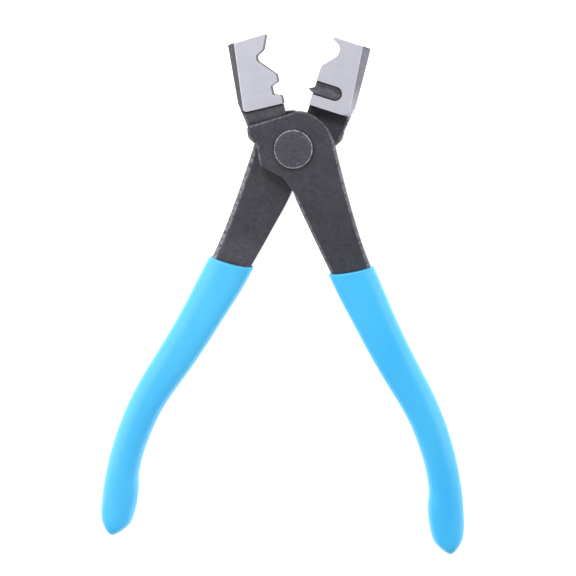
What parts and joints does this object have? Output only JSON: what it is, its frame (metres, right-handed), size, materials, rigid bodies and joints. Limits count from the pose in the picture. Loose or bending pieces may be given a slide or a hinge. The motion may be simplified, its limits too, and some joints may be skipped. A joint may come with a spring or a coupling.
{
  "type": "hose clip pliers",
  "caption": "Hand pliers with hooked, notched and toothed jaws on one rivet and dipped blue grips, for re-usable collar clips on hoses.",
  "frame": {"origin": "on the rivet's axis, at the back face of the rivet's tail, which the joint rests on", "axes": "+Z along the rivet's axis towards the rivet's head, +Y towards the jaws, +X towards the rear lever's jaw"},
  "size_m": [0.122, 0.1691, 0.0132],
  "materials": {
    "lever_steel": "forged and phosphated dark grey, jaw faces ground bright",
    "rivet_steel": "phosphated dark grey, rim worn bright",
    "grip_vinyl": "dipped soft vinyl, sky blue, satin gloss"
  },
  "bodies": {
    "front": {"front_lever": "lever_steel", "pivot_rivet": "rivet_steel", "front_grip": "grip_vinyl"},
    "rear": {"rear_lever": "lever_steel", "rear_grip": "grip_vinyl"}
  },
  "joints": [
    {"name": "jaw_pivot", "type": "hinge", "parent": "front", "child": "rear", "pos_m": [0, 0, 0.0066], "axis": [0, 0, 1], "range_deg": [-29, 31]}
  ]
}
